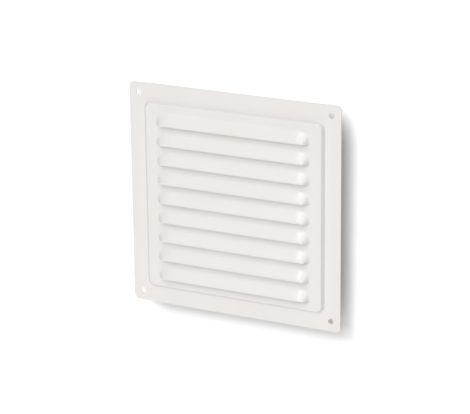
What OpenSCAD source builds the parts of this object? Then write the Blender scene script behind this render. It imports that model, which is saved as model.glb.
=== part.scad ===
// Square ventilation grille pressed from one painted steel sheet: a flat rim
// with four screw holes, a raised panel with a rounded bend all round it, and
// a column of louvres pushed outwards and cut open along their lower edge.
//
// Millimetres. The grille stands as it hangs on a wall: +Z up, +X to the
// right, its front towards -Y, and the wall face of its rim on Y = 0. The
// origin is on that face, in the middle of the four screw holes.
// The sheet is drawn lying down (x right, y up the wall, z out of the wall)
// and turned upright at the end.

/* [Plate] */
// Width and height of the whole plate
plate = 150; // [146:1:170]
// Thickness of the sheet
sheet = 0.6; // [0.4:0.05:0.8]
// Radius of the plate's four outer corners
corner_r = 3; // [1:0.5:5]

/* [Screw holes] */
// Distance between hole centres, the same across and up
hole_spacing = 136.5; // [135:0.5:140]
// Diameter of each screw hole
hole_d = 3.4; // [2.5:0.1:4.2]

/* [Raised panel] */
// How far the panel's face stands in front of the rim's face
panel_rise = 2.2; // [1.6:0.1:2.6]
// Width and height of the panel's flat face
panel_flat = 123.2; // [120:0.2:125]
// Corner radius of that flat face
panel_corner_r = 3; // [1:0.5:6]
// Width of the sloping bend between the flat face and the rim
bend_run = 2.8; // [2.6:0.1:3.4]
// Steepest angle of that bend
bend_angle = 50; // [46:1:56]
// Outside radius at the bend's crest
bend_crest_r = 1.2; // [1:0.1:1.5]

/* [Louvres] */
// Number of louvres
louvres = 9; // [1:1:9]
// Distance from one louvre to the next
pitch = 13.1; // [12:0.1:13.2]
// Length of a louvre from tip to tip
louvre_len = 110; // [60:1:112]
// Height of a louvre from its cut edge up to its foot
louvre_h = 9.6; // [9:0.1:10.4]
// How far a louvre's lip stands in front of the panel's face
louvre_rise = 3.6; // [3.2:0.1:4]
// Flat strip along the lip before the face curves back
lip_flat = 0.5; // [0.3:0.1:0.9]
// Steepest angle of the louvre's face
louvre_angle = 27; // [26:1:32]
// Outside radius of the face below that slope, towards the lip
crest_r = 3; // [1.5:0.1:4]
// Height of the lowest cut edge above the middle of the plate
first_cut = -56; // [-57:0.1:-52.9]

/* [Hidden] */
// Smoothness of every arc
$fn = 96;

// Sum of the two radii of an S bend that climbs h over a run b at angle a
function radii(b, h, a) = (b * sin(a) - h * cos(a)) / (1 - cos(a));
// Length of the straight slope between its two arcs
function slope(b, h, a) = (h - radii(b, h, a) * (1 - cos(a))) / sin(a);

bend_foot_r = radii(bend_run, panel_rise, bend_angle) - bend_crest_r;
louvre_run = louvre_h - lip_flat;
louvre_foot_r = radii(louvre_run, louvre_rise, louvre_angle) - crest_r;

// The area under an S bend, seen from the side. It is flat for f, then falls
// h over the run b: a crest arc of radius rc, a slope at angle a, a foot arc
// of radius rf. The area reaches d below the foot.
module under_bend(f, b, h, a, rc, rf, d) {
    crest = [f + rc * sin(a), h - rc * (1 - cos(a))];
    foot = [f + b - rf * sin(a), rf * (1 - cos(a))];
    intersection() {
        difference() {
            union() {
                polygon([[0, -d], [f + b, -d], [f + b, 0], foot, crest, [f, h], [0, h]]);
                intersection() {
                    translate([f, h - rc]) circle(r = rc);
                    polygon([[f, h - rc], [f, h + rc], [f + 2 * rc * sin(a / 2), h + rc],
                             [f + 2 * rc * sin(a), h - rc + 2 * rc * cos(a)]]);
                }
            }
            translate([f + b, rf]) circle(r = rf);
        }
        translate([0, -d]) square([f + b, h + d]);
    }
}

// The raised panel as a solid pad: a block, four straight sides and four
// turned corners, all with the same side profile. thin is the distance from
// the outer skin, 0 for the outer skin itself.
module pad(thin, d) {
    c = panel_flat / 2 - panel_corner_r;
    module side() {
        under_bend(panel_corner_r, bend_run, panel_rise, bend_angle,
                   bend_crest_r - thin, bend_foot_r + thin, d);
    }
    translate([-c, -c, -d]) cube([2 * c, 2 * c, panel_rise + d]);
    for (q = [0 : 3]) rotate([0, 0, 90 * q]) {
        translate([c, c, 0]) rotate_extrude(angle = 90) side();
        translate([c, c, 0]) rotate([90, 0, 0]) linear_extrude(height = 2 * c) side();
    }
}

// One louvre as a solid hood standing on the panel's skin, its cut edge on
// y = 0: a straight middle and two turned ends.
module hood(thin, d) {
    half = louvre_len / 2 - louvre_h;
    module face() {
        under_bend(lip_flat, louvre_run, louvre_rise, louvre_angle,
                   crest_r - thin, louvre_foot_r + thin, d);
    }
    translate([-half, 0, 0]) rotate([90, 0, 90]) linear_extrude(height = 2 * half) face();
    translate([half, 0, 0]) rotate_extrude(angle = 90) face();
    translate([-half, 0, 0]) rotate([0, 0, 90]) rotate_extrude(angle = 90) face();
}

// The flat rim with its rounded corners
module rim() {
    e = plate / 2 - corner_r;
    linear_extrude(height = sheet) union() {
        square([plate, 2 * e], center = true);
        square([2 * e, plate], center = true);
        for (x = [-e, e], y = [-e, e]) translate([x, y]) circle(r = corner_r);
    }
}

module screw_holes() {
    s = hole_spacing / 2;
    for (x = [-s, s], y = [-s, s])
        translate([x, y, -1]) cylinder(d = hole_d, h = sheet + 2);
}

module grille_plate() {
    color([0.93, 0.92, 0.90]) rotate([90, 0, 0]) difference() {
        union() {
            rim();
            translate([0, 0, sheet]) pad(0, sheet / 2);
            for (i = [0 : louvres - 1])
                translate([0, first_cut + i * pitch, sheet + panel_rise]) hood(0, sheet / 2);
        }
        pad(sheet, 1);
        for (i = [0 : louvres - 1])
            translate([0, first_cut + i * pitch, panel_rise]) hood(sheet, 0.5);
        screw_holes();
    }
}

grille_plate();
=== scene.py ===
import math

import bpy
import bmesh
import numpy as np
from mathutils import Matrix, Vector
from mathutils.geometry import delaunay_2d_cdt


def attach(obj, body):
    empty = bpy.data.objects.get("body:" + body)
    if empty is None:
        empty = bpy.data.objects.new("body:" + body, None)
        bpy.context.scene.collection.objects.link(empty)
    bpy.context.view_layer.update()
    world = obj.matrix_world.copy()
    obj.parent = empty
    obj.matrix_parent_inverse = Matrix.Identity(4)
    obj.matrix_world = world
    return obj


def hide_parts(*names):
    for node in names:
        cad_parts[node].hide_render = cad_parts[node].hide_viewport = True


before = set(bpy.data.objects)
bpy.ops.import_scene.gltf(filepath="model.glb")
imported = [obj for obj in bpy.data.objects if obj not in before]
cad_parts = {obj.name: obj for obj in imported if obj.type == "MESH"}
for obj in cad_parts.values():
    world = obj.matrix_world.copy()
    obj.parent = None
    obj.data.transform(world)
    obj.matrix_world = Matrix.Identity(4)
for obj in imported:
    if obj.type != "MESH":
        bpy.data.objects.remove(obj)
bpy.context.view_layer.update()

MM = 0.001

# ---------------------------------------------------------------- sizes, mm
# The same numbers as the CAD source. The sheet is described lying down:
# x to the right, y up the wall, z out of the wall. z = 0 is the wall face.
PLATE, SHEET, CORNER = 150.0, 0.6, 3.0
HOLE_GAP, HOLE_D = 136.5, 3.4
PANEL_RISE, PANEL_FLAT, PANEL_CORNER = 2.2, 123.2, 3.0
BEND_RUN, BEND_ANGLE, BEND_CREST_R = 2.8, 50.0, 1.2
LOUVRES, PITCH, LENGTH, HEIGHT, RISE = 9, 13.1, 110.0, 9.6, 3.6
LIP_FLAT, LOUVRE_ANGLE, CREST_R, FIRST_CUT = 0.5, 27.0, 3.0, -56.0
END_RUN = 4.5
# Finishing details that only the visual mesh has
TURN = 12.6        # length over which a louvre's face turns into its end
FULLNESS = 3.0     # squareness of the foot's corner there, 2 is an ellipse
EDGE_R = 0.16      # rounding of the sheet's sheared and painted edges
CUT_EDGE_R = 0.12  # the same along the louvres' cuts
KERF = 0.30        # gap between a lip's cut face and the panel below it


def radii(b, h, a):
    return (b * math.sin(a) - h * math.cos(a)) / (1 - math.cos(a))


class Bend:
    """An S bend seen from the side: flat for f, then falls h over the run b."""

    def __init__(self, f, b, h, angle, rc, n_crest, n_slope, n_foot):
        a = math.radians(angle)
        rs = radii(b, h, a)
        self.f, self.b, self.h, self.a, self.rc, self.rf = f, b, h, a, rc, rs - rc
        crest = (f + rc * math.sin(a), h - rc * (1 - math.cos(a)))
        foot = (f + b - self.rf * math.sin(a), self.rf * (1 - math.cos(a)))
        rows = [(f + rc * math.sin(t), h - rc * (1 - math.cos(t)), t)
                for t in np.linspace(0, a, n_crest + 1)]
        rows += [(crest[0] + (foot[0] - crest[0]) * t, crest[1] + (foot[1] - crest[1]) * t, a)
                 for t in np.linspace(0, 1, n_slope + 1)[1:]]
        rows += [(f + b - self.rf * math.sin(t), self.rf * (1 - math.cos(t)), t)
                 for t in np.linspace(a, 0, n_foot + 1)[1:]]
        self.rows = rows  # (distance, height, slope angle)


class Skin:
    """Points of the front skin with their normals, and faces over them."""

    def __init__(self):
        self.p, self.n, self.down, self.faces = [], [], [], []

    def add(self, x, y, z, nx=0.0, ny=0.0, nz=1.0, down=0.0):
        """down is 0 where the back skin lies behind the front one along its
        normal, and 1 where it lies straight behind it."""
        self.p.append((x, y, z))
        self.n.append((nx, ny, nz))
        self.down.append(down)
        return len(self.p) - 1

    def quad(self, a, b, c, d):
        ring = [a]
        for i in (b, c, d):
            if i != ring[-1] and i != ring[0]:
                ring.append(i)
        if len(ring) > 2:
            self.faces.append(tuple(ring))


skin = Skin()
loops = []  # (indices of a closed boundary, outward directions in the sheet, rounding radius at each)


def grid(columns):
    """Faces between neighbouring columns of equal length."""
    for left, right in zip(columns, columns[1:]):
        for j in range(len(left) - 1):
            skin.quad(left[j], left[j + 1], right[j + 1], right[j])


def even(a, b, step):
    n = max(1, round(abs(b - a) / step))
    return [a + (b - a) * i / n for i in range(n + 1)]


# ------------------------------------------------------- the raised panel's bend
def square_path(half, r, step, arc):
    """Points once round a rounded square, as (x, y, ux, uy) with the outward
    direction, for a corner radius r at the path's own size."""
    c = half - r
    out = []
    for q in range(4):
        rot = [(1, 0), (0, 1), (-1, 0), (0, -1)][q]
        for y in even(-c, c, step)[:-1]:
            out.append((half, y, 1.0, 0.0, rot))
        for k in range(arc):
            t = math.pi / 2 * k / arc
            out.append((c + r * math.cos(t), c + r * math.sin(t), math.cos(t), math.sin(t), rot))
    return [(x * rx - y * ry, x * ry + y * rx, ux * rx - uy * ry, ux * ry + uy * rx)
            for x, y, ux, uy, (rx, ry) in out]


bend = Bend(PANEL_CORNER, BEND_RUN, PANEL_RISE, BEND_ANGLE, BEND_CREST_R, 7, 2, 7)
c0 = PANEL_FLAT / 2 - PANEL_CORNER
columns = []
for x, y, ux, uy in square_path(c0 + 1.0, 1.0, 2.0, 14):
    cx, cy = x - ux, y - uy  # the path's own centre line, at zero radius
    col = []
    for s, h, t in bend.rows:
        col.append(skin.add(cx + ux * s, cy + uy * s, SHEET + h,
                            math.sin(t) * ux, math.sin(t) * uy, math.cos(t)))
    columns.append(col)
grid(columns + columns[:1])
panel_edge = [c[0] for c in columns]
foot_edge = [c[-1] for c in columns]

# ---------------------------------------------------------------- the louvres
face = Bend(LIP_FLAT, HEIGHT - LIP_FLAT, RISE, LOUVRE_ANGLE, CREST_R, 12, 3, 10)
top = SHEET + PANEL_RISE
outlines = []


def ease(d, reach=2.5):
    t = min(1.0, max(0.0, d / reach))
    return t * t * (3 - 2 * t)


def turned_end(steps):
    """Columns of one louvre's end, from its tip round to its straight face.
    Every level line is a quarter of a superellipse: a slim one at the crest,
    a full one at the foot. Returns (x past the straight part, y, z, normal)."""
    rows = [(0.0, RISE)] + [(s, h) for s, h, _ in face.rows]

    def at(v, phi):
        """v counts along the rows, so it need not be whole."""
        i = min(int(v), len(rows) - 2)
        s = rows[i][0] + (rows[i + 1][0] - rows[i][0]) * (v - i)
        h = rows[i][1] + (rows[i + 1][1] - rows[i][1]) * (v - i)
        t = max(0.0, (s - LIP_FLAT) / (HEIGHT - LIP_FLAT))
        e = 2.0 / (2.0 + (FULLNESS - 2.0) * t)
        return Vector(((TURN - END_RUN + END_RUN * t) * math.cos(phi) ** e,
                       s * math.sin(phi) ** e, h))

    out = []
    for i in range(steps + 1):
        phi = min(math.pi / 2 * i / steps, math.pi / 2)
        safe = min(max(phi, 0.02), math.pi / 2 - 0.02)
        col = []
        for j in range(len(rows)):
            if j < 2:
                n = Vector((0, 0, 1))
            else:
                _, _, a = face.rows[j - 1]
                du = at(j, safe + 0.01) - at(j, safe - 0.01)
                # slope along the row direction, taken from the profile itself
                s, h, _ = face.rows[j - 1]
                t = (s - LIP_FLAT) / (HEIGHT - LIP_FLAT)
                e1 = at_row(s + 1e-3, h - 1e-3 * math.tan(a), safe)
                e0 = at_row(s - 1e-3, h + 1e-3 * math.tan(a), safe)
                n = du.cross(e1 - e0)
                n = n if n.z > 0 else -n
                n.normalize()
                if i == 0:
                    n.y = 0.0
                if i == steps:
                    n.x = 0.0
                n.normalize()
            p = at(j, phi)
            if i == 0:
                p.y = 0.0
            if i == steps:
                p.x = 0.0
            col.append((p.x, p.y, p.z, tuple(n)))
        out.append(col)
    return out


def at_row(s, h, phi):
    t = max(0.0, (s - LIP_FLAT) / (HEIGHT - LIP_FLAT))
    e = 2.0 / (2.0 + (FULLNESS - 2.0) * t)
    return Vector(((TURN - END_RUN + END_RUN * t) * math.cos(phi) ** e,
                   s * math.sin(phi) ** e, h))


STEPS = 26
end_cols = turned_end(STEPS)
half = LENGTH / 2 - TURN
for k in range(LOUVRES):
    y0 = FIRST_CUT + PITCH * k
    rows = [(0.0, RISE, 0.0)] + face.rows
    sides = []
    for side in (-1, 1):
        cols = []
        for i, src in enumerate(end_cols):
            col = []
            for j, (x, y, z, n) in enumerate(src):
                if i == 0 and j == 1:
                    col.append(col[0])
                else:
                    col.append(skin.add(side * (half + x), y0 + y, top + z, side * n[0], n[1], n[2],
                                        ease(STEPS - i, STEPS * 0.5)))
            cols.append(col)
        sides.append(cols)
    middle = [[skin.add(x, y0 + s, top + h, 0.0, math.sin(a), math.cos(a)) for s, h, a in rows]
              for x in even(-half, half, 2.4)[1:-1]]
    cols = sides[0] + middle + sides[1][::-1]
    grid(cols)
    foot = [c[-1] for c in cols]                       # left tip, over the top, right tip
    lip = cols[0][:0:-1] + [c[0] for c in cols[1:-1]] + cols[-1][1:]
    tip = LENGTH / 2
    back = []                                          # the panel's side of the cut, right to left
    for x in even(tip, -tip, 2.0)[1:-1]:
        g = ease(tip - abs(x))
        back.append(skin.add(x, y0 - (KERF + CUT_EDGE_R) * g, top))
    outlines.append(foot + back)
    ring = lip + back
    out, rr = [], []
    for n, i in enumerate(ring):
        x, y, z = skin.p[i]
        g = ease(tip - abs(x))
        out.append((0.0, -1.0 if n < len(lip) else 1.0, 0.0))
        rr.append(CUT_EDGE_R * g)
    loops.append((ring, out, rr))

# ---------------------------------------------------------------- rim edges
edge, edge_out = [], []
for x, y, ux, uy in square_path(PLATE / 2 - EDGE_R, CORNER - EDGE_R, 2.5, 10):
    edge.append(skin.add(x, y, SHEET))
    edge_out.append((ux, uy, 0.0))
loops.append((edge, edge_out, [EDGE_R] * len(edge)))
holes = []
for hx in (-1, 1):
    for hy in (-1, 1):
        ring, out = [], []
        for i in range(40):
            t = 2 * math.pi * i / 40
            r = HOLE_D / 2 + EDGE_R
            ring.append(skin.add(hx * HOLE_GAP / 2 + r * math.cos(t),
                                 hy * HOLE_GAP / 2 + r * math.sin(t), SHEET))
            out.append((-math.cos(t), -math.sin(t), 0.0))
        holes.append(ring)
        loops.append((ring, out, [EDGE_R] * 40))


# ------------------------------------------------------- flat areas, filled
def inside(points, poly):
    x, y = points[:, 0], points[:, 1]
    px, py = poly[:, 0], poly[:, 1]
    qx, qy = np.roll(px, -1), np.roll(py, -1)
    hit = np.zeros(len(points), bool)
    for x1, y1, x2, y2 in zip(px, py, qx, qy):
        if y1 != y2:
            cross = (y1 > y) != (y2 > y)
            hit ^= cross & (x < (x2 - x1) * (y - y1) / (y2 - y1) + x1)
    return hit


def near(points, poly, d):
    """True where a point is nearer than d to the polygon's outline."""
    close = np.zeros(len(points), bool)
    for a, b in zip(poly, np.roll(poly, -1, 0)):
        ab = b - a
        t = np.clip(((points - a) @ ab) / max(ab @ ab, 1e-12), 0, 1)
        close |= np.linalg.norm(points - a - t[:, None] * ab, axis=1) < d
    return close


def fill(outer, inner, z, step):
    """Triangles between an outer loop and the loops inside it."""
    polys = [np.array([skin.p[i][:2] for i in ring]) for ring in [outer] + inner]
    lo, hi = polys[0].min(0), polys[0].max(0)
    xs = np.arange(lo[0] + step / 2, hi[0], step)
    ys = np.arange(lo[1] + step / 2, hi[1], step * 0.866)
    pts = np.array([(x + (step / 2 if r % 2 else 0), y) for r, y in enumerate(ys) for x in xs])
    ok = inside(pts, polys[0])
    for poly in polys[1:]:
        ok &= ~inside(pts, poly)
    for poly in polys:
        ok &= ~near(pts, poly, step * 0.55)
    index = [i for ring in [outer] + inner for i in ring]
    index += [skin.add(x, y, z) for x, y in pts[ok]]
    edges, at = [], 0
    for ring in [outer] + inner:
        n = len(ring)
        edges += [(at + i, at + (i + 1) % n) for i in range(n)]
        at += n
    flat = [Vector(skin.p[i][:2]) for i in index]
    verts, _, tris, origin, _, _ = delaunay_2d_cdt(flat, edges, [], 0, 1e-5)
    assert len(verts) == len(flat), (len(verts), len(flat))
    back = [index[o[0]] for o in origin]
    tri = np.array([[back[i] for i in t] for t in tris])
    mid = np.array([[skin.p[i][:2] for i in t] for t in tri]).mean(1)
    keep = inside(mid, polys[0])
    for poly in polys[1:]:
        keep &= ~inside(mid, poly)
    skin.faces += [tuple(t) for t in tri[keep].tolist()]


fill(panel_edge, outlines, top, 2.6)
fill(edge, [foot_edge] + holes, SHEET, 3.0)

# ------------------------------------------------------- back skin and edges
P, N = np.array(skin.p), np.array(skin.n)
down = np.array(skin.down)[:, None]
straight = np.array([0.0, 0.0, 1.0]) / np.maximum(N[:, 2:], 0.5)
BACK = P - SHEET * ((1 - down) * N + down * straight)
count = len(P)
verts, norms = [P, BACK], [N, -N]
faces = [f for f in skin.faces] + [tuple(i + count for i in reversed(f)) for f in skin.faces]
ROUND = 3
total = 2 * count
for ring, out, rr in loops:
    ring = np.array(ring)
    m, n, r = np.array(out), N[ring], np.array(rr)[:, None]
    m = np.where(r > 1e-9, m, 0.0)  # where the rounding dies out, normals stay the skin's
    rows, row_n = [], []
    for j in range(1, ROUND + 1):
        t = math.pi / 2 * min(j, ROUND - 0.01) / ROUND
        rows.append(P[ring] + r * (m * math.sin(t) + n * (math.cos(t) - 1)))
        row_n.append(m * math.sin(t) + n * math.cos(t))
    for j in range(ROUND, 0, -1):
        t = math.pi / 2 * min(j, ROUND - 0.01) / ROUND
        rows.append(BACK[ring] + r * (m * math.sin(t) - n * (math.cos(t) - 1)))
        row_n.append(m * math.sin(t) - n * math.cos(t))
    cols = [list(ring)]
    for pts, nn in zip(rows, row_n):
        cols.append(list(range(total, total + len(ring))))
        verts.append(pts)
        norms.append(nn)
        total += len(ring)
    cols.append([i + count for i in ring])
    for a, b in zip(cols, cols[1:]):
        for i in range(len(ring)):
            i2 = (i + 1) % len(ring)
            faces.append((a[i], b[i], b[i2], a[i2]))
verts, norms = np.concatenate(verts), np.concatenate(norms)
norms /= np.linalg.norm(norms, axis=1)[:, None]


def upright(v):
    """From the lying sheet to the hanging grille, in metres."""
    return np.stack([v[:, 0], -v[:, 2], v[:, 1]], 1)


mesh = bpy.data.meshes.new("grille")
co = upright(verts) * MM
mesh.from_pydata(co.tolist(), [], faces)
bm = bmesh.new()
bm.from_mesh(mesh)
tag = bm.verts.layers.float_vector.new("true_normal")
true = upright(norms)
for v, n in zip(bm.verts, true):
    v[tag] = n
bmesh.ops.remove_doubles(bm, verts=bm.verts, dist=2e-7)
bmesh.ops.dissolve_degenerate(bm, dist=1e-8, edges=bm.edges)
bmesh.ops.recalc_face_normals(bm, faces=bm.faces)
print("MESH faces", len(bm.faces), "verts", len(bm.verts),
      "open edges", sum(not e.is_manifold for e in bm.edges), "volume mm3", bm.calc_volume() * 1e9)
true = [tuple(v[tag]) for v in bm.verts]
bm.verts.layers.float_vector.remove(tag)
bm.to_mesh(mesh)
bm.free()
mesh.shade_smooth()
mesh.normals_split_custom_set_from_vertices(true)
grille = bpy.data.objects.new("grille", mesh)
bpy.context.scene.collection.objects.link(grille)
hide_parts("grille_plate")
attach(grille, "root")

# ---------------------------------------------------------------- material
def node_maker(tree):
    def make(kind, **sockets):
        n = tree.nodes.new(kind)
        for key, value in sockets.items():
            n.inputs[key.replace("_", " ")].default_value = value
        return n
    return make


mat = bpy.data.materials.new("white_gloss_paint")
mat.use_nodes = True
nt = mat.node_tree
bsdf = nt.nodes["Principled BSDF"]
bsdf.inputs["IOR"].default_value = 1.5
make = node_maker(nt)
coord = make("ShaderNodeTexCoord")
# slow drift of the paint's tone over the plate
tone = make("ShaderNodeTexNoise", Scale=28.0, Detail=3.0, Roughness=0.55)
nt.links.new(coord.outputs["Object"], tone.inputs["Vector"])
ramp = make("ShaderNodeValToRGB")
ramp.color_ramp.elements[0].position, ramp.color_ramp.elements[1].position = 0.3, 0.7
ramp.color_ramp.elements[0].color = (0.794, 0.768, 0.742, 1)
ramp.color_ramp.elements[1].color = (0.806, 0.782, 0.758, 1)
nt.links.new(tone.outputs["Fac"], ramp.inputs["Fac"])
nt.links.new(ramp.outputs["Color"], bsdf.inputs["Base Color"])
# gloss that varies a little
gloss = make("ShaderNodeTexNoise", Scale=160.0, Detail=2.0)
nt.links.new(coord.outputs["Object"], gloss.inputs["Vector"])
spread = make("ShaderNodeMapRange")
spread.inputs["To Min"].default_value, spread.inputs["To Max"].default_value = 0.15, 0.21
nt.links.new(gloss.outputs["Fac"], spread.inputs["Value"])
nt.links.new(spread.outputs["Result"], bsdf.inputs["Roughness"])
# the fine orange peel of sprayed and baked paint
peel = make("ShaderNodeTexNoise", Scale=620.0, Detail=2.0, Roughness=0.4)
nt.links.new(coord.outputs["Object"], peel.inputs["Vector"])
bump = make("ShaderNodeBump", Strength=0.12, Distance=0.00003)
nt.links.new(peel.outputs["Fac"], bump.inputs["Height"])
nt.links.new(bump.outputs["Normal"], bsdf.inputs["Normal"])
mesh.materials.append(mat)

# ---------------------------------------------------------------- camera
# Camera placed so that the four screw holes fall where the photograph has them.
UNIT = HOLE_GAP / 2 * MM
cam_data = bpy.data.cameras.new("camera")
cam = bpy.data.objects.new("camera", cam_data)
bpy.context.scene.collection.objects.link(cam)
cam_data.sensor_width = 36.0
cam_data.lens = 162.10
cam_data.clip_start, cam_data.clip_end = 0.05, 20.0
right = Vector((0.8943909608, 0.4471709003, -0.0101486526))
up = Vector((-0.1321327239, 0.2858207072, 0.9491298471))
away = right.cross(up)
turned = Matrix((right, up, away)).transposed()
cam.matrix_world = Matrix.Translation(
    Vector((8.521057507, -16.880771648, 6.261743658)) * UNIT + Vector((0, -SHEET * MM, 0))
) @ turned.to_4x4()
bpy.context.scene.camera = cam

# ---------------------------------------------------------------- stage
def lying(x, up, out):
    """A direction given as right, up and out of the wall."""
    return Vector((x, -out, up)).normalized()


# Backdrop: wall, cove and floor in one sheet, seen by the camera only.
WALL_Y, FLOOR_Z, COVE = 0.012, -0.30, 0.12
profile = [(WALL_Y, 1.2)]
profile += [(WALL_Y - COVE * (1 - math.cos(t)), FLOOR_Z + COVE * (1 - math.sin(t)))
            for t in np.linspace(0, math.pi / 2, 13)]
profile.append((-1.6, FLOOR_Z))
stage_mesh = bpy.data.meshes.new("backdrop")
stage_verts = [(x, y, z) for y, z in profile for x in (-1.6, 1.6)]
stage_faces = [(2 * i, 2 * i + 1, 2 * i + 3, 2 * i + 2) for i in range(len(profile) - 1)]
stage_mesh.from_pydata(stage_verts, [], stage_faces)
stage_mesh.shade_smooth()
backdrop = bpy.data.objects.new("backdrop", stage_mesh)
bpy.context.scene.collection.objects.link(backdrop)
if stage_mesh.polygons[0].normal.y > 0:
    stage_mesh.flip_normals()
white = bpy.data.materials.new("backdrop_white")
white.use_nodes = True
nt = white.node_tree
nt.nodes.remove(nt.nodes["Principled BSDF"])
make = node_maker(nt)
paper = make("ShaderNodeBsdfDiffuse", Color=(0.9, 0.9, 0.9, 1))
clear = make("ShaderNodeBsdfTransparent")
side = make("ShaderNodeNewGeometry")
either = make("ShaderNodeMixShader")
nt.links.new(side.outputs["Backfacing"], either.inputs["Fac"])
nt.links.new(paper.outputs[0], either.inputs[1])
nt.links.new(clear.outputs[0], either.inputs[2])
nt.links.new(either.outputs[0], nt.nodes["Material Output"].inputs["Surface"])
stage_mesh.materials.append(white)
backdrop.visible_diffuse = False
backdrop.visible_glossy = False
backdrop.visible_transmission = False
backdrop.visible_shadow = False

# Soft light for the backdrop alone, from the upper left
lamp_data = bpy.data.lights.new("backdrop_light", "SUN")
lamp_data.energy = 2.2
lamp_data.angle = math.radians(35)
lamp = bpy.data.objects.new("backdrop_light", lamp_data)
bpy.context.scene.collection.objects.link(lamp)
lamp.rotation_euler = lying(-0.75, 1.2, 1.0).to_track_quat("Z", "Y").to_euler()
only = bpy.data.collections.new("backdrop_only")
only.objects.link(backdrop)
lamp.light_linking.receiver_collection = only

# The studio: broad soft lobes of light, each a power of the cosine to its axis
world = bpy.data.worlds.new("studio")
bpy.context.scene.world = world
world.use_nodes = True
nt = world.node_tree
make = node_maker(nt)
coord = make("ShaderNodeTexCoord")
LOBES = [  # axis, exponent, radiance
    (lying(0, math.sin(math.radians(18)), math.cos(math.radians(18))), 8.0, 1.65),
    (lying(0, math.sin(math.radians(45)), math.cos(math.radians(45))), 8.0, 2.9),
    (lying(0, -math.sin(math.radians(55)), math.cos(math.radians(55))), 8.0, 2.9),
    (lying(1.0, 0.0, 0.3), 3.0, 0.25),
    (lying(-1.0, 0.0, 0.3), 3.0, 0.10),
    (lying(0, 0, -1), 1.0, 0.45),
    (lying(-0.19, 0.50, 0.84), 420.0, 9.0),
    (lying(-0.12, 0.22, 0.96), 420.0, 9.0),
]
GAIN = 0.884  # overall level of the studio
light = None
for axis, power, radiance in LOBES:
    dot = make("ShaderNodeVectorMath")
    dot.operation = "DOT_PRODUCT"
    dot.inputs[1].default_value = axis
    nt.links.new(coord.outputs["Generated"], dot.inputs[0])
    lit = make("ShaderNodeMath")
    lit.operation = "MAXIMUM"
    lit.inputs[1].default_value = 0.0
    nt.links.new(dot.outputs["Value"], lit.inputs[0])
    fall = make("ShaderNodeMath")
    fall.operation = "POWER"
    fall.inputs[1].default_value = power
    nt.links.new(lit.outputs[0], fall.inputs[0])
    part = make("ShaderNodeMath")
    part.operation = "MULTIPLY_ADD"
    part.inputs[1].default_value = radiance * GAIN
    part.inputs[2].default_value = 0.02
    nt.links.new(fall.outputs[0], part.inputs[0])
    if light is not None:
        nt.links.new(light, part.inputs[2])
    light = part.outputs[0]
studio = nt.nodes["Background"]
studio.inputs["Color"].default_value = (1, 1, 1, 1)
nt.links.new(light, studio.inputs["Strength"])
plain = make("ShaderNodeBackground")
plain.inputs["Color"].default_value = (1, 1, 1, 1)
plain.inputs["Strength"].default_value = 1.0
path = make("ShaderNodeLightPath")
which = make("ShaderNodeMixShader")
nt.links.new(path.outputs["Is Camera Ray"], which.inputs["Fac"])
nt.links.new(studio.outputs[0], which.inputs[1])
nt.links.new(plain.outputs[0], which.inputs[2])
nt.links.new(which.outputs[0], nt.nodes["World Output"].inputs["Surface"])
bpy.context.scene.view_settings.view_transform = "Standard"
